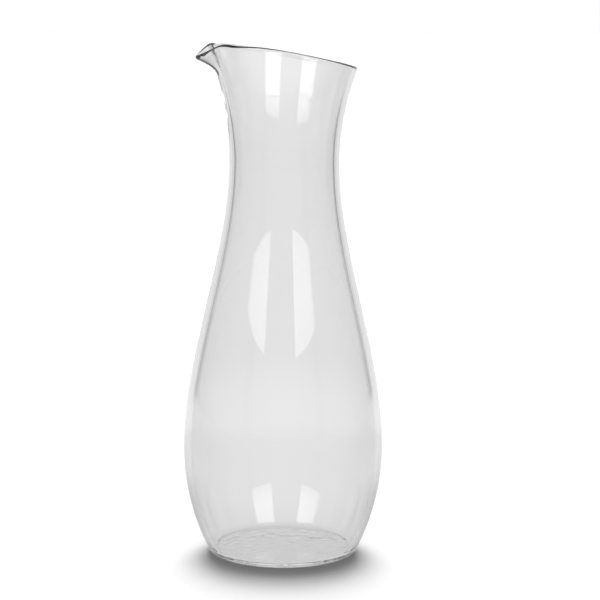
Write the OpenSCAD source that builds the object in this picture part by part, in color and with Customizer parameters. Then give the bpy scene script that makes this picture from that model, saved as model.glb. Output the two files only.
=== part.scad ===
// Water carafe: one vessel of clear glass that stands on its own foot ring.
// Millimetres, Z up, origin on the axis at the plane that the carafe stands on.
// The pouring spout points along -X.

/* [Foot] */
// Outer diameter of the flat ring that the carafe stands on
foot_d = 71; // [62:0.5:78]
// Width of the flat ring
foot_land = 4; // [2.5:0.5:8]
// Radius of the rounded heel outside the ring
heel_r = 4; // [2:0.5:6]
// Outward run of the wall for each millimetre of rise, just above the heel
heel_slope = 0.5; // [0.3:0.05:0.7]
// Height of the hollow pushed up under the base
punt_rise = 2.2; // [1:0.2:4]

/* [Body] */
// Diameter at the widest part of the belly
belly_d = 103; // [96:1:112]
// Height of the widest part of the belly
belly_z = 55; // [46:1:66]
// Diameter half way up the straight shoulder
shoulder_d = 80.5; // [74:0.5:86]
// Height of that point of the shoulder
shoulder_z = 128; // [116:1:142]
// Inward run of the shoulder for each millimetre of rise
shoulder_slope = 0.23; // [0.18:0.01:0.28]

/* [Neck] */
// Diameter of the neck at its narrowest
waist_d = 56; // [50:0.5:62]
// Height of the narrowest part of the neck
waist_z = 204; // [194:1:214]

/* [Mouth] */
// Diameter across the round part of the rim
mouth_d = 73; // [68:0.5:80]
// How much further out the rim stands towards the spout, apart from the spout's own reach
mouth_swell = 1; // [0:0.1:3]
// Height of the slanted rim at the axis
rim_z = 259.6; // [254:0.2:268]
// Slant of the rim, rising towards the spout, in degrees
rim_tilt = 11.7; // [0:0.1:16]
// Outward run of the flare for each millimetre of rise, at the rim
mouth_slope = 0.36; // [0.2:0.02:0.5]
// Thickness of the melted rim, which is fully rounded
lip_t = 2.6; // [1.8:0.1:3.4]

/* [Spout] */
// How far the spout reaches out past the round rim
spout_reach = 7.9; // [5:0.1:12]
// Angle from the middle of the spout to its half width, in degrees
spout_angle = 11.5; // [9:0.5:18]
// How far below the slanted rim the spout is drawn down at its tip, not counting the ears
spout_dip = 13.8; // [8:0.2:16]
// Angle from the middle of the spout to half of that dip, in degrees
dip_angle = 22.5; // [16:0.5:32]
// Rise of the two ears beside the spout
ear_rise = 4; // [0:0.2:5]
// Angle from the middle of the spout to each ear, in degrees
ear_angle = 16; // [12:0.2:22]
// Height over which the spout leans out from the neck
spout_h = 8.2; // [6:0.2:14]

/* [Glass] */
// Thickness of the wall
wall = 3; // [2:0.1:4]
// Thickness of the floor
floor_t = 3; // [2:0.2:5]
// How much smaller in radius the flat of the floor inside is than the foot
well_gap = 2; // [0.5:0.5:8]
// Radius of the rounded corner between floor and wall, inside
well_r = 4; // [1:0.5:7]

/* [Hidden] */
// Facets around the axis
around = 90;
// Points along the heel, the punt, each stretch of the wall, the flare, the spout and the lip
heel_steps = 5;
punt_steps = 6;
wall_steps = 9;
flare_steps = 8;
lean_steps = 6;
lip_steps = 6;
// Curve of the spout's lean: 1 is a straight ramp
lean_power = 2.2;
// Width of an ear, as a share of its angle from the spout
ear_width_share = 0.86;
// Angle from the middle of the spout to half of the mouth's swell
swell_angle = 45;
// Sharpness of the spout's plan, and of its dip and the mouth's swell
plan_power = 2.5;
dip_power = 1.5;
// How far the mouth's facets stand proud of the turned neck, so that they clear its circles
proud = waist_d * (1 - cos(180 / around));

// Value at t, from 0 to 1, of the cubic from a with slope da to b with slope db
function cubic(t, a, da, b, db) =
    (2 * t^3 - 3 * t^2 + 1) * a + (t^3 - 2 * t^2 + t) * da + (3 * t^2 - 2 * t^3) * b + (t^3 - t^2) * db;

// Slope of that cubic at t
function cubic_slope(t, a, da, b, db) =
    (6 * t^2 - 6 * t) * (a - b) + (3 * t^2 - 4 * t + 1) * da + (3 * t^2 - 2 * t) * db;

// Points [radius, height] of a stretch of wall from [r, z, slope] to another, its first point left out
function stretch(from, to) =
    let (rise = to[1] - from[1])
    [for (i = [1:wall_steps])
        let (t = i / wall_steps)
        [cubic(t, from[0], from[2] * rise, to[0], to[2] * rise), from[1] + rise * t]];

// One side of the glass, from its corner at the base up to the waist: start is the radius where the
// corner's arc leaves the level surface at height lift, arc is its radius, inset the depth of the side
function side(start, arc, lift, inset) =
    let (
        turn = 90 - atan(heel_slope),
        top = [start + arc * sin(turn), lift + arc * (1 - cos(turn)), heel_slope],
        belly = [belly_d / 2 - inset, belly_z, 0],
        shoulder = [shoulder_d / 2 - inset * sqrt(1 + shoulder_slope^2), shoulder_z, -shoulder_slope],
        waist = [waist_d / 2 - inset, waist_z, 0]
    )
    concat(
        [for (i = [0:heel_steps])
            let (a = turn * i / heel_steps)
            [start + arc * sin(a), lift + arc * (1 - cos(a))]],
        stretch(top, belly),
        stretch(belly, shoulder),
        stretch(shoulder, waist)
    );

function reversed(list) = [for (i = [len(list) - 1:-1:0]) list[i]];

// Shallow dome from the axis out to radius reach, its edge at height lift
function dome(reach, lift) =
    [for (i = [0:punt_steps - 1]) let (s = i / punt_steps) [reach * s, lift + punt_rise * (1 - s^2)]];

// Half section of the vessel from the foot to the waist
function body_section() = concat(
    dome(foot_d / 2 - foot_land, 0),
    [[foot_d / 2 - foot_land, 0]],
    side(foot_d / 2, heel_r, 0, 0),
    reversed(side(foot_d / 2 - well_gap, well_r, floor_t, wall)),
    reversed(dome(foot_d / 2 - well_gap, floor_t))
);

// Bell of height 1 over the angle a from the spout's middle, half as high at the angle half
function bell(a, half, power) =
    let (u = sin(a / 2) / sin(half / 2), k = 2^(1 / power) - 1)
    1 / (1 + k * u^2)^power;

// Angle from the spout's middle, 0 to 180, of the facet line i
function off_spout(i) = let (a = 360 * i / around) min(a, 360 - a);

// Radius of the rim's outer edge at angle a, before the spout is drawn out of it
function rim_radius(a) = mouth_d / 2 + mouth_swell * bell(a, swell_angle, dip_power);

// Rise of the two ears at angle a, a rounded hump on each side of the spout
function ears(a) =
    let (width = ear_angle * ear_width_share)
    ear_rise * (exp(-((a - ear_angle) / width)^2) + exp(-((a + ear_angle) / width)^2));

// Height of the rim's outer edge at angle a, below the crown of the lip's half round
function rim_height(a) =
    rim_z - lip_t / 2 * (1 + mouth_slope / sqrt(1 + mouth_slope^2))
    + tan(rim_tilt) * cos(a) * (rim_radius(a) + spout_reach * bell(a, spout_angle, plan_power))
    - spout_dip * bell(a, dip_angle, dip_power)
    + ears(a);

// Steps up the mouth as shares of its height: even along the flare, then closer where the spout leans
function climb(a) =
    let (bend = 1 - spout_h / (rim_height(a) - waist_z))
    concat(
        [for (i = [0:flare_steps]) bend * i / flare_steps],
        [for (i = [1:lean_steps]) bend + (1 - bend) * i / lean_steps]
    );

// Point of the mouth's outer face at angle a and share v of its height, and the slope there:
// [radius, height, change of radius over v, change of height over v]
function mouth_point(a, v) =
    let (
        rise = rim_height(a) - waist_z,
        bend = 1 - spout_h / rise,
        lean = max(0, (v - bend) / (1 - bend)),
        out = spout_reach * bell(a, spout_angle, plan_power),
        flare = mouth_slope * rise
    )
    [
        cubic(v, waist_d / 2, 0, rim_radius(a), flare) + out * lean^lean_power,
        waist_z + rise * v,
        cubic_slope(v, waist_d / 2, 0, rim_radius(a), flare)
            + (lean > 0 ? out * lean_power * lean^(lean_power - 1) / (1 - bend) : 0),
        rise
    ];

// Same point moved into the glass by depth
function inward(p, depth) =
    let (n = norm([p[2], p[3]]))
    [p[0] - depth * p[3] / n, p[1] + depth * p[2] / n];

// Thickness of the mouth's wall at share v of its height
function thickness(v) = wall + (lip_t - wall) * v^2;

// Half round of the lip at angle a, from its outer edge over to its inner one
function lip(a) =
    let (p = mouth_point(a, 1), n = norm([p[2], p[3]]), mid = inward(p, lip_t / 2))
    [for (i = [1:lip_steps - 1])
        let (w = 180 * i / lip_steps)
        [
            mid[0] + lip_t / 2 * (cos(w) * p[3] + sin(w) * p[2]) / n,
            mid[1] + lip_t / 2 * (sin(w) * p[3] - cos(w) * p[2]) / n
        ]];

// Section of the mouth at angle a: up the outer face, over the lip and down the inner face
function mouth_section(a) =
    let (shares = climb(a))
    concat(
        [for (v = shares) let (p = mouth_point(a, v)) [p[0], p[1]]],
        lip(a),
        [for (v = reversed(shares)) inward(mouth_point(a, v), thickness(v))]
    );

// Mouth and spout, a closed band of sections turned about the axis
module mouth() {
    rings = [for (i = [0:around - 1]) mouth_section(off_spout(i))];
    count = len(rings[0]);
    points = [for (i = [0:around - 1], p = rings[i])
        let (turn = 360 * i / around, r = p[0] + proud)
        [-r * cos(turn), -r * sin(turn), p[1]]];
    faces = [for (i = [0:around - 1], j = [0:count - 1])
        let (
            a = i * count + j,
            b = i * count + (j + 1) % count,
            c = ((i + 1) % around) * count + (j + 1) % count,
            d = ((i + 1) % around) * count + j
        )
        each [[a, b, c], [a, c, d]]];
    polyhedron(points, faces);
}

// The vessel: turned body below, flared mouth with its spout above, in one piece of glass
module glass_vessel() {
    color("gainsboro", 0.5)
    union() {
        rotate_extrude($fn = around)
            polygon(body_section());
        mouth();
    }
}

glass_vessel();
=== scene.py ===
from math import atan, cos, pi, radians, sin

import bpy
import numpy as np
from mathutils import Matrix, Vector


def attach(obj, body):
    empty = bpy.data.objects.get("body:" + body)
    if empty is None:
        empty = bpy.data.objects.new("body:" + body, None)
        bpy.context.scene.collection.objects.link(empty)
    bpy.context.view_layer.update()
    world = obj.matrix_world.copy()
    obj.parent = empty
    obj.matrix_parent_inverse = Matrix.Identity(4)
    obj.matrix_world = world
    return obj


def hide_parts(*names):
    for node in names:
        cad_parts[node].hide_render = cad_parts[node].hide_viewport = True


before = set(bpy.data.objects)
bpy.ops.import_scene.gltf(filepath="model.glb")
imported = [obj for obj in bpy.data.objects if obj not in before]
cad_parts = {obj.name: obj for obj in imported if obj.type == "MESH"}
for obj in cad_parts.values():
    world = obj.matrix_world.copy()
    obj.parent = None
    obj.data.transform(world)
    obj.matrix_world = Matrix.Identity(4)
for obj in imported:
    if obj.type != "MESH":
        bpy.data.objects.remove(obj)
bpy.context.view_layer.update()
print("frame loaded:", sorted(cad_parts))

mm = 0.001
white = (1, 1, 1, 1)
black = (0, 0, 0, 1)
scene = bpy.context.scene


# One operator's two forms on a wire: with the wire first, and reflected.
def operator(name):
    def wireFirst(wire, value):
        return wire.sheet.maths(name, wire, value)

    def wireSecond(wire, value):
        return wire.sheet.maths(name, value, wire)

    return wireFirst, wireSecond


# A socket that sums can be written with: 1 - wire / 2 adds the Math nodes.
class Wire:
    def __init__(self, sheet, socket):
        self.sheet, self.socket = sheet, socket

    __add__, __radd__ = operator("ADD")
    __sub__, __rsub__ = operator("SUBTRACT")
    __mul__, __rmul__ = operator("MULTIPLY")
    __truediv__, __rtruediv__ = operator("DIVIDE")


# The node tree of one material, or of the world.
class Sheet:
    def __init__(self, owner):
        owner.use_nodes = True
        self.tree = owner.node_tree
        self.tree.nodes.clear()

    # any node: its settings go in first, then the values or wires of its sockets
    def add(self, kind, settings=None, values=None, out=0):
        node = self.tree.nodes.new(kind)
        for name, value in (settings or {}).items():
            setattr(node, name, value)
        for name, value in (values or {}).items():
            if isinstance(value, Wire):
                self.tree.links.new(value.socket, node.inputs[name])
            else:
                node.inputs[name].default_value = value
        return Wire(self, node.outputs[out]) if len(node.outputs) else None

    def maths(self, operation, first, second=0):
        return self.add("ShaderNodeMath", {"operation": operation}, {0: first, 1: second})

    # 0 to 1 as value goes from low to high, eased at both ends
    def ease(self, value, low, high):
        settings = {"interpolation_type": "SMOOTHSTEP"}
        return self.add("ShaderNodeMapRange", settings, {"Value": value, "From Min": low, "From Max": high})

    # the three numbers of a vector
    def axes(self, vector):
        return [self.add("ShaderNodeSeparateXYZ", {}, {"Vector": vector}, axis) for axis in "XYZ"]

    def lightPath(self, name):
        return self.add("ShaderNodeLightPath", out=name)


# Off where share is 0 and on where it is 1, for wires and numbers alike.
def between(share, off, on):
    return share * (on - off) + off


# A new object in the scene, at the origin.
def placed(name, data):
    thing = bpy.data.objects.new(name, data)
    scene.collection.objects.link(thing)
    return thing


# The glass vessel's sizes in millimetres and degrees, as the part has them.
vessel = {
    "footDiameter": 71, "footLand": 4, "heelRadius": 4, "heelSlope": 0.5, "puntRise": 2.2,
    "bellyDiameter": 103, "bellyHeight": 55,
    "shoulderDiameter": 80.5, "shoulderHeight": 128, "shoulderSlope": 0.23,
    "waistDiameter": 56, "waistHeight": 204,
    "mouthDiameter": 73, "mouthSwell": 1, "swellAngle": 45, "mouthSlope": 0.36,
    "rimHeight": 259.6, "rimTilt": 11.7, "lipThickness": 2.6,
    "spoutReach": 7.9, "spoutAngle": 11.5, "spoutDip": 13.8, "dipAngle": 22.5, "spoutHeight": 8.2,
    "earRise": 4, "earAngle": 16, "earWidth": 13.76,
    "planPower": 2.5, "dipPower": 1.5, "leanPower": 2.2,
    "wall": 3, "floor": 3, "wellGap": 2, "wellRadius": 4,
    # how finely the surface is cut, and how much closer its columns stand at the spout
    "columns": 216, "crowding": 0.6,
    "domeRows": 22, "landRows": 3, "heelRows": 14, "wallRows": 34, "mouthRows": 70, "lipRows": 22,
    "mouthBunching": 0.85,  # below 1 the mouth's rows stand closer together towards the rim
}


# Cubic from a with slope da at t = 0 to b with slope db at t = 1, and its own slope.
def cubic(t, a, da, b, db):
    return ((2 * t**3 - 3 * t**2 + 1) * a + (t**3 - 2 * t**2 + t) * da
            + (3 * t**2 - 2 * t**3) * b + (t**3 - t**2) * db)


def cubicSlope(t, a, da, b, db):
    return (6 * t**2 - 6 * t) * (a - b) + (3 * t**2 - 4 * t + 1) * da + (3 * t**2 - 2 * t) * db


# Bell of height 1 over the angle from the spout: 1 / (1 + k u^2)^power, half as high at the angle half.
def bell(angle, half, power):
    u = np.sin(angle / 2) / sin(radians(half) / 2)
    return 1 / (1 + (2 ** (1 / power) - 1) * u**2) ** power


# Radius and height along one side of the glass, from its corner at the base up to the waist: an arc, then
# three cubics through the belly and the shoulder. Inset is the depth of the side within the glass.
def side(start, arc, lift, inset):
    v = vessel
    slope = v["heelSlope"]
    turn = pi / 2 - atan(slope)
    a = np.linspace(0, turn, v["heelRows"])
    slant = (1 + v["shoulderSlope"] ** 2) ** 0.5
    stations = [
        (start + arc * sin(turn), lift + arc * (1 - cos(turn)), slope),
        (v["bellyDiameter"] / 2 - inset, v["bellyHeight"], 0),
        (v["shoulderDiameter"] / 2 - inset * slant, v["shoulderHeight"], -v["shoulderSlope"]),
        (v["waistDiameter"] / 2 - inset, v["waistHeight"], 0),
    ]
    radii, heights = [start + arc * np.sin(a)], [lift + arc * (1 - np.cos(a))]
    t = np.linspace(0, 1, v["wallRows"] + 1)[1:]
    for (r0, z0, s0), (r1, z1, s1) in zip(stations, stations[1:]):
        radii.append(cubic(t, r0, s0 * (z1 - z0), r1, s1 * (z1 - z0)))
        heights.append(z0 + (z1 - z0) * t)
    return np.concatenate(radii), np.concatenate(heights)


# Radius and height of the shallow dome under the base or on the floor inside, from its middle out to radius
# reach. It falls with the square of the radius.
def dome(reach, lift):
    s = np.linspace(0, 1, vessel["domeRows"], endpoint=False)
    return reach * s, lift + vessel["puntRise"] * (1 - s**2)


# Radius of the rim over the angle from the spout, before the spout's own reach: the mouth's, and a bell that
# widens it towards the spout.
def rimRadius(angle):
    v = vessel
    return v["mouthDiameter"] / 2 + v["mouthSwell"] * bell(angle, v["swellAngle"], v["dipPower"])


# How far the spout is drawn out past the rim: a narrow bell over the angle from the spout.
def spoutOut(angle):
    v = vessel
    return v["spoutReach"] * bell(angle, v["spoutAngle"], v["planPower"])


# Height of the rim's outer edge over the angle from the spout: the slanted plane, less the spout's dip,
# plus the ear on each side of it.
def rimLine(angle):
    v = vessel
    slope = v["mouthSlope"]
    reach = rimRadius(angle) + spoutOut(angle)
    ears = sum(np.exp(-(((angle + radians(a)) / radians(v["earWidth"])) ** 2))
               for a in (v["earAngle"], -v["earAngle"]))
    return (v["rimHeight"] - v["lipThickness"] / 2 * (1 + slope / (1 + slope**2) ** 0.5)
            + np.tan(radians(v["rimTilt"])) * np.cos(angle) * reach
            - v["spoutDip"] * bell(angle, v["dipAngle"], v["dipPower"])
            + v["earRise"] * ears)


# The mouth above the waist, for columns of angles by rows of the section: up the outer face, over the half
# round of the lip and down the inner face. The flare is a cubic, and the spout leans out of its top.
def mouth(angle):
    v = vessel
    angle = angle[:, None]
    share = np.linspace(0, 1, v["mouthRows"] + 1)[None, 1:] ** v["mouthBunching"]
    rise = rimLine(angle) - v["waistHeight"]
    bend = 1 - v["spoutHeight"] / rise
    lean = np.clip((share - bend) / (1 - bend), 0, 1)
    out = spoutOut(angle)
    ends = (v["waistDiameter"] / 2, 0, rimRadius(angle), v["mouthSlope"] * rise)
    r = cubic(share, *ends) + out * lean ** v["leanPower"]
    z = v["waistHeight"] + rise * share
    # the section's own direction, which the wall's depth is square to
    dr = cubicSlope(share, *ends) + out * v["leanPower"] * lean ** (v["leanPower"] - 1) / (1 - bend)
    dz = rise + 0 * share
    length = np.hypot(dr, dz)
    depth = v["wall"] + (v["lipThickness"] - v["wall"]) * share**2
    # the lip's half round, from the outer face over to the inner one
    half = v["lipThickness"] / 2
    turn = np.linspace(0, pi, v["lipRows"])[None, 1:-1]
    lipUp, lipOut = (dz / length)[:, -1:], (dr / length)[:, -1:]
    lipR = r[:, -1:] - half * lipUp + half * (np.cos(turn) * lipUp + np.sin(turn) * lipOut)
    lipZ = z[:, -1:] + half * lipOut + half * (np.sin(turn) * lipUp - np.cos(turn) * lipOut)
    inR, inZ = (r - depth * dz / length)[:, ::-1], (z + depth * dr / length)[:, ::-1]
    return np.hstack([r, lipR, inR]), np.hstack([z, lipZ, inZ])


# Every point of the vessel in metres, in columns round the axis by rows from the middle of the base round to
# the middle of the floor, and for each row whether it is on the inner face.
def vesselGrid():
    v = vessel
    t = np.linspace(0, 2 * pi, v["columns"], endpoint=False)
    turn = t - v["crowding"] * np.sin(t)  # closer together at the spout
    angle = np.minimum(turn, 2 * pi - turn)  # away from the spout, alike on both sides
    foot = v["footDiameter"] / 2
    hollow = foot - v["footLand"]
    land = np.linspace(hollow, foot, v["landRows"], endpoint=False)
    below = np.hstack([dome(hollow, 0), (land, 0 * land), side(foot, v["heelRadius"], 0, 0)])
    well = foot - v["wellGap"]
    above = np.hstack([dome(well, v["floor"]), side(well, v["wellRadius"], v["floor"], v["wall"])])[:, ::-1]
    mouthR, mouthZ = mouth(angle)
    wide = np.ones((len(t), 1))
    r = np.hstack([wide * below[0], mouthR, wide * above[0]])
    z = np.hstack([wide * below[1], mouthZ, wide * above[1]])
    lipTop = below.shape[1] + v["mouthRows"] + v["lipRows"] // 2
    inside = np.arange(r.shape[1]) > lipTop
    return np.stack([-r * np.cos(turn)[:, None], -r * np.sin(turn)[:, None], z], -1) * mm, inside


# What a grid of columns by rows holds for each vertex, where all columns share their first and last row.
def packed(grid):
    return np.concatenate([grid[:1, 0], grid[:, 1:-1].reshape(-1, *grid.shape[2:]), grid[:1, -1]])


# A closed mesh from points in columns that go round and rows that run from one pole to the other.
def closedSkin(name, grid):
    columns, rows = len(grid), grid.shape[1] - 2  # without the poles
    i, j = np.meshgrid(np.arange(columns), np.arange(rows - 1), indexing="ij")
    here, beside = 1 + i * rows + j, 1 + (i + 1) % columns * rows + j
    quads = np.stack([here, beside, beside + 1, here + 1], -1).reshape(-1, 4)
    pole = 0 * here[:, 0]
    lowFan = np.stack([pole, beside[:, 0], here[:, 0]], -1)
    highFan = np.stack([pole + columns * rows + 1, here[:, -1] + 1, beside[:, -1] + 1], -1)
    mesh = bpy.data.meshes.new(name)
    mesh.from_pydata(packed(grid), [], quads.tolist() + lowFan.tolist() + highFan.tolist())
    mesh.update()
    mesh.shade_smooth()
    return placed(name, mesh)


glass = {
    "ior": 1.5,
    "tint": 0.95,  # share of light that a wall lets through
    "grazeShade": 0.25,  # painted shade: share darker that the inner face is painted where it is seen edge on
    "soak": 3,  # light taken per metre of glass
    "heelEdgeShade": 0.8,  # painted shade: share darker that the heel's outer face is painted where it turns edge on
    "heelFacing": (0.5, 0.9),  # how far it has turned, from 0 facing to 1 edge on
    "heelFade": (0.02, 0.08),  # metres up the side over which that painted shade ends
    "spoutShade": 0.95,  # painted shade: share darker that the glass along the spout's underside is painted
    "spoutOut": (0.033, 0.042),  # metres out from the axis where that painted shade begins
    "spoutHalf": (0.002, 0.008),  # and its half width
    "spoutLow": (0.2, 0.22),  # metres up where it begins
    "spoutFacing": (0.12, 0.45),  # it shows where it has turned edge on
    "smudge": 0.02,  # roughness where the glass is smudged
    "smudgeSpread": (0.5, 0.8),  # levels of its noise between which the smudges come up
    "smudgeNoise": {"Scale": 25, "Detail": 4},
    "ripple": 0.03,  # of the drawn streaks up the wall
    "rippleNoise": {"Scale": 60, "Detail": 2, "Roughness": 0.4},
    "streak": (1, 1, 0.12),  # the share of each axis that their pattern takes, so that they run upwards
    "baseRipple": 0.22,  # of the uneven glass in the base
    "baseNoise": {"Scale": 110, "Detail": 3, "Distortion": 0.8},
    "baseFade": (0.004, 0.009),  # metres up over which it ends
    "rippleDepth": 0.001,  # metres, of a ripple of 1
    "shade": 0.1,  # share of lamp light that passes each face of the heel
    "shadeFade": (0, 0.04),  # metres: above this the thin wall casts no shadow
    "bounces": 48,  # how often light may turn in the walls
}


def glassMaterial():
    g = glass
    material = bpy.data.materials.new("clearGlass")
    s = Sheet(material)
    place = s.add("ShaderNodeTexCoord", out="Object")
    along, across, height = s.axes(place)

    streaks = s.add("ShaderNodeVectorMath", {"operation": "MULTIPLY"}, {0: place, 1: g["streak"]})
    ripples = s.add("ShaderNodeTexNoise", {}, {"Vector": streaks, **g["rippleNoise"]}) * g["ripple"]
    pools = s.add("ShaderNodeTexNoise", {}, {"Vector": place, **g["baseNoise"]}) * g["baseRipple"]
    waves = ripples + pools * (1 - s.ease(height, *g["baseFade"]))
    bump = s.add("ShaderNodeBump", {}, {"Height": waves, "Strength": 1, "Distance": g["rippleDepth"]})
    smudges = s.add("ShaderNodeTexNoise", {}, {"Vector": place, **g["smudgeNoise"]})
    roughness = s.ease(smudges, *g["smudgeSpread"]) * g["smudge"]

    # the glass's colour: its tint all over, with painted shade along the inner face where it is seen edge
    # on, at the heel and under the spout, which points along -X
    facing = s.add("ShaderNodeLayerWeight", out="Facing")
    inside = s.add("ShaderNodeAttribute", {"attribute_name": "inside"}, out="Fac")
    # painted shade at the heel's edge
    heelShade = (1 - s.ease(height, *g["heelFade"])) * s.ease(facing, *g["heelFacing"]) * g["heelEdgeShade"]
    # painted shade along the spout's underside, where it turns edge on
    spoutShadeArea = s.ease(along * -1, *g["spoutOut"]) * s.ease(height, *g["spoutLow"])
    spoutShadeArea = spoutShadeArea * (1 - s.ease(s.maths("ABSOLUTE", across), *g["spoutHalf"]))
    stripe = spoutShadeArea * s.ease(facing, *g["spoutFacing"]) * g["spoutShade"]
    # the tint, darkened by the painted shade
    level = (1 - facing * inside * g["grazeShade"]) * (1 - (heelShade + stripe) * (1 - inside)) * g["tint"]
    tint = s.add("ShaderNodeCombineColor", {}, dict.fromkeys(("Red", "Green", "Blue"), level))
    body = s.add("ShaderNodeBsdfPrincipled", {}, {
        "Base Color": tint, "Roughness": roughness, "IOR": g["ior"],
        "Transmission Weight": 1, "Normal": bump,
    })

    # to lamps, and to light between matt surfaces, the walls are see-through: dim at the heel, clear above
    thick = s.add("ShaderNodeBsdfTransparent", {}, {"Color": (g["shade"], g["shade"], g["shade"], 1)})
    thin = s.add("ShaderNodeBsdfTransparent")
    passed = s.add("ShaderNodeMixShader", {}, {0: s.ease(height, *g["shadeFade"]), 1: thick, 2: thin})
    lampRay = s.maths("MAXIMUM", s.lightPath("Is Shadow Ray"), s.lightPath("Is Diffuse Ray"))
    surface = s.add("ShaderNodeMixShader", {}, {0: lampRay, 1: body, 2: passed})
    soak = s.add("ShaderNodeVolumeAbsorption", {}, {"Color": black, "Density": g["soak"]})
    s.add("ShaderNodeOutputMaterial", {}, {"Surface": surface, "Volume": soak})
    return material


def makeVessel():
    grid, inside = vesselGrid()
    piece = closedSkin("glassVessel", grid)
    mask = packed(np.tile(inside, (len(grid), 1))).astype(np.float32)
    piece.data.attributes.new("inside", "FLOAT", "POINT").data.foreach_set("value", mask)
    piece.data.materials.append(glassMaterial())
    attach(piece, "root")
    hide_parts("glass_vessel")
    print("vessel:", len(piece.data.polygons), "faces")


# The camera in metres and degrees: where it stands round the axis, and how it is turned off the vessel.
# Its lens and sensor are in millimetres.
view = {
    "azimuth": -15.6, "distance": 1.0416, "height": 0.2922,
    "pitch": 8.73, "yaw": 0.461, "roll": 0.335,
    "lens": 122.64, "sensor": 36,
}


# Unit vector from the axis towards an azimuth, counted as the camera's is, and an elevation.
def towards(azimuth, elevation=0):
    a, e = radians(azimuth), radians(elevation)
    return Vector((sin(a) * cos(e), -cos(a) * cos(e), sin(e)))


def makeCamera():
    v = view
    camera = placed("camera", bpy.data.cameras.new("camera"))
    camera.data.sensor_width, camera.data.lens = v["sensor"], v["lens"]
    camera.location = towards(v["azimuth"]) * v["distance"] + Vector((0, 0, v["height"]))
    aim = -towards(v["azimuth"] - v["yaw"], v["pitch"])
    look = aim.to_track_quat("-Z", "Y").to_matrix() @ Matrix.Rotation(radians(v["roll"]), 3, "Z")
    camera.rotation_mode = "QUATERNION"
    camera.rotation_quaternion = look.to_quaternion()
    scene.camera = camera
    print("camera placed")


# The room round the vessel, in degrees and grey levels: white to the camera, and to the glass four pale
# walls with darker corners.
room = {
    "walls": 4, "wallLevel": 0.86,
    "wallHalf": (38, 43),  # azimuths off a wall's middle between which it runs into the corner
    "sideDrop": 0.07, "sideFrom": (9, 18),  # darker past these azimuths off straight behind the vessel
    "wallRise": 0.11, "riseFade": (-4.2, -2.8),  # lighter straight behind it, above these elevations
    "cornerLevel": 0.22, "frontCorner": 0.6,  # of the corners behind the vessel and on the camera's side
    "rearFade": (-0.3, 0.3),  # cosines of the azimuths between which those two sides meet
    "topLevel": 0.05, "topFade": (40, 65),  # dark overhead
    "diffuseLevel": 0.05,  # what matt surfaces get from the room
}


def makeRoom():
    r = room
    world = bpy.data.worlds.new("room")
    scene.world = world
    s = Sheet(world)
    x, y, up = s.axes(s.add("ShaderNodeTexCoord", out="Generated"))
    azimuth = s.maths("ARCTAN2", x, y) + radians(view["azimuth"])  # from straight behind the vessel
    behind = s.maths("COSINE", azimuth)
    # cosine of that azimuth times the number of walls: 1 facing a wall, -1 at a corner
    face = s.maths("COSINE", azimuth * r["walls"])
    walls = s.ease(face, *(cos(radians(r["walls"] * a)) for a in reversed(r["wallHalf"])))
    corner = between(s.ease(behind, *r["rearFade"]), r["frontCorner"], r["cornerLevel"])
    rise = s.ease(up, *(sin(radians(e)) for e in r["riseFade"])) * r["wallRise"]
    middle = s.ease(behind, *(cos(radians(a)) for a in reversed(r["sideFrom"])))
    wall = between(middle, r["wallLevel"] - r["sideDrop"], rise + r["wallLevel"])
    above = s.ease(up, *(sin(radians(e)) for e in r["topFade"]))
    glassSees = between(above, between(walls, corner, wall), r["topLevel"])
    unseen = between(s.lightPath("Is Diffuse Ray"), glassSees, r["diffuseLevel"])
    level = between(s.lightPath("Is Camera Ray"), unseen, 1)
    background = s.add("ShaderNodeBackground", {}, {"Color": white, "Strength": level})
    s.add("ShaderNodeOutputWorld", {}, {"Surface": background})
    print("room painted")


# The floor, in metres and grey levels.
ground = {
    "level": -0.0003, "radius": 12, "sides": 96,
    "white": 0.9, "glow": 0.13,  # its paint and its own light, to the camera
    # the rest is the floor as the glass sees it
    "glassWhite": 0.12, "glassGlow": 0.75,
    "underShadeGlow": 0.68, "underFade": (0.03, 0.12),  # painted shade: darker under the vessel, out to this far from the axis
    "besideShadowDrop": 0.12, "besideFrom": (0.04, 0.09), "besideFade": (0.1, 0.2),  # painted shadow: darker close beside it
    "beltLightRise": 0.065, "beltNear": (0.25, 0.32), "beltFar": (0.38, 0.62),  # painted light: a lighter belt behind it
    "asideDrop": 0.045, "asideFade": (0.1, 0.3),  # darker behind it past the azimuths of the room's sideFrom
    # sines of the azimuths between which the room's dark corners run on over the floor, and how far behind
    # the vessel that starts
    "cornerFrom": (0.62, 0.69), "cornerTo": (0.78, 0.86), "cornerFade": (0.5, 0.8),
    "edge": (0.9, 1.7),  # how far out the floor gives way to the room
}


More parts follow.
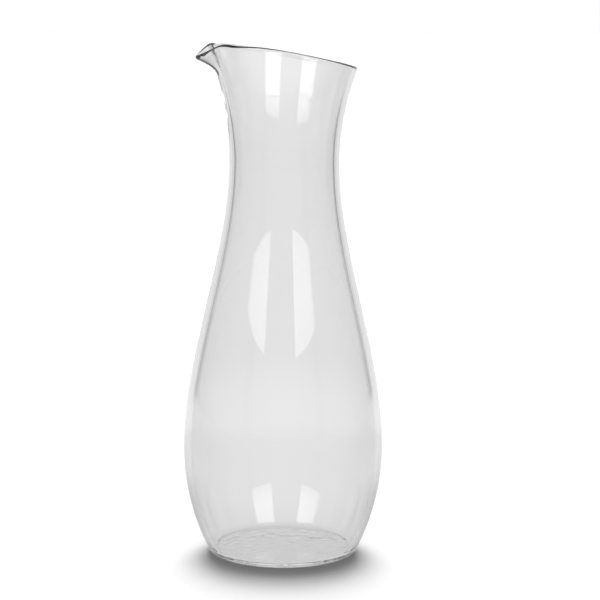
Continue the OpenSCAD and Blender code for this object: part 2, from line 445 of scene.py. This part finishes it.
def floorMaterial():
    g = ground
    material = bpy.data.materials.new("whiteFloor")
    s = Sheet(material)
    camera = s.lightPath("Is Camera Ray")
    place = s.add("ShaderNodeTexCoord", out="Object")
    # how far a point lies from the axis, and behind it and to its right as the camera sees it
    reach = s.add("ShaderNodeVectorMath", {"operation": "LENGTH"}, {0: place}, "Value")
    behind, right = (
        s.add("ShaderNodeVectorMath", {"operation": "DOT_PRODUCT"}, {0: place, 1: way}, "Value")
        for way in (towards(view["azimuth"] + 180), towards(view["azimuth"] + 90))
    )
    aside = s.maths("ABSOLUTE", right)
    turned = aside / reach  # sine of the azimuth off straight behind the vessel

    # the glow that the glass sees: painted shade under the vessel, a painted shadow close beside it and a
    # painted light belt behind it
    beside = s.ease(aside, *g["besideFrom"]) * (1 - s.ease(reach, *g["besideFade"]))
    belt = s.ease(behind, *g["beltNear"]) * (1 - s.ease(behind, *g["beltFar"]))
    wings = s.ease(turned, *(sin(radians(a)) for a in room["sideFrom"])) * s.ease(behind, *g["asideFade"])
    corner = s.ease(turned, *g["cornerFrom"]) * (1 - s.ease(turned, *g["cornerTo"]))
    corner = corner * s.ease(behind, *g["cornerFade"])
    glassSees = between(s.ease(reach, *g["underFade"]), g["underShadeGlow"], g["glassGlow"])
    glassSees = glassSees - beside * g["besideShadowDrop"] - wings * g["asideDrop"] + belt * g["beltLightRise"]
    glassSees = glassSees * between(corner, 1, room["cornerLevel"])

    paint = s.add("ShaderNodeBsdfDiffuse", {}, {"Color": between(camera, g["glassWhite"], g["white"])})
    strength = between(camera, glassSees, g["glow"])
    glow = s.add("ShaderNodeEmission", {}, {"Color": white, "Strength": strength})
    table = s.add("ShaderNodeAddShader", {}, {0: paint, 1: glow})
    past = s.ease(reach, *g["edge"]) * (1 - camera)
    gap = s.add("ShaderNodeBsdfTransparent")
    surface = s.add("ShaderNodeMixShader", {}, {0: past, 1: table, 2: gap})
    s.add("ShaderNodeOutputMaterial", {}, {"Surface": surface})
    return material


# A flat disc with many sides.
def makeFloor():
    g = ground
    a = np.linspace(0, 2 * pi, g["sides"], endpoint=False)
    points = np.stack([g["radius"] * np.cos(a), g["radius"] * np.sin(a), 0 * a + g["level"]], -1)
    mesh = bpy.data.meshes.new("floor")
    mesh.from_pydata(points, [], [list(range(len(a)))])
    mesh.materials.append(floorMaterial())
    placed("floor", mesh)
    print("floor laid")


# The two soft cards in front of the vessel, left and right of the camera, in metres and degrees.
cards = {
    "leftCard": (-26, -56), "rightCard": (16, 46.5),  # azimuths of inner and outer edge, off the camera's
    "away": (1.5, 1.4),  # how far those edges stand from the axis
    "low": 0.47, "high": 1.5,
    "columns": 9, "rows": 7,
    "strength": (2.3, 3.8), "ramp": (0.45, 0.8),  # dimmer below and brighter above, and the heights between
}


def cardMaterial(name):
    material = bpy.data.materials.new(name)
    s = Sheet(material)
    height = s.axes(s.add("ShaderNodeTexCoord", out="Object"))[2]
    strength = between(s.ease(height, *cards["ramp"]), *cards["strength"])
    light = s.add("ShaderNodeEmission", {}, {"Color": white, "Strength": strength})
    s.add("ShaderNodeOutputMaterial", {}, {"Surface": light})
    return material


# A card curved round the vessel: its columns turn about the axis and its rows go straight up.
def makeCard(name):
    c = cards
    columns, rows = c["columns"], c["rows"]
    a = np.radians(view["azimuth"] + np.linspace(*c[name], columns))[:, None]
    away = np.linspace(*c["away"], columns)[:, None]
    h = np.linspace(c["low"], c["high"], rows)[None]
    points = np.stack([away * np.sin(a) + 0 * h, -away * np.cos(a) + 0 * h, 0 * a + h], -1)
    i, j = np.meshgrid(np.arange(columns - 1), np.arange(rows - 1), indexing="ij")
    here = i * rows + j
    quads = np.stack([here, here + 1, here + rows + 1, here + rows], -1)
    mesh = bpy.data.meshes.new(name)
    mesh.from_pydata(points.reshape(-1, 3), [], quads.reshape(-1, 4).tolist())
    mesh.materials.append(cardMaterial(name))
    card = placed(name, mesh)
    card.visible_camera = card.visible_diffuse = card.visible_shadow = False


# The lamps: how far each leans from straight overhead to behind the vessel and the angle that it fills, in
# degrees, and the grey level that a white floor has by its light alone.
lamps = {
    "backLamp": {"tilt": 54, "fills": 40, "level": 0.6},
    "topLamp": {"tilt": 25, "fills": 50, "level": 0.4},
}


def makeLamp(name, tilt, fills, level):
    lamp = placed(name, bpy.data.lights.new(name, "SUN"))
    lamp.data.energy = pi * level / cos(radians(tilt))
    lamp.data.angle = radians(fills)
    fromSky = towards(view["azimuth"] + 180, 90 - tilt)
    lamp.rotation_mode = "QUATERNION"
    lamp.rotation_quaternion = (-fromSky).to_track_quat("-Z", "Y")
    lamp.visible_glossy = lamp.visible_transmission = lamp.visible_camera = False


makeVessel()
makeCamera()
makeFloor()
for name in ("leftCard", "rightCard"):
    makeCard(name)
for name, lamp in lamps.items():
    makeLamp(name, **lamp)
print("cards and lamps hung")
makeRoom()

cycles = scene.cycles
cycles.max_bounces = cycles.glossy_bounces = cycles.transmission_bounces = glass["bounces"]
scene.view_settings.view_transform = "Standard"
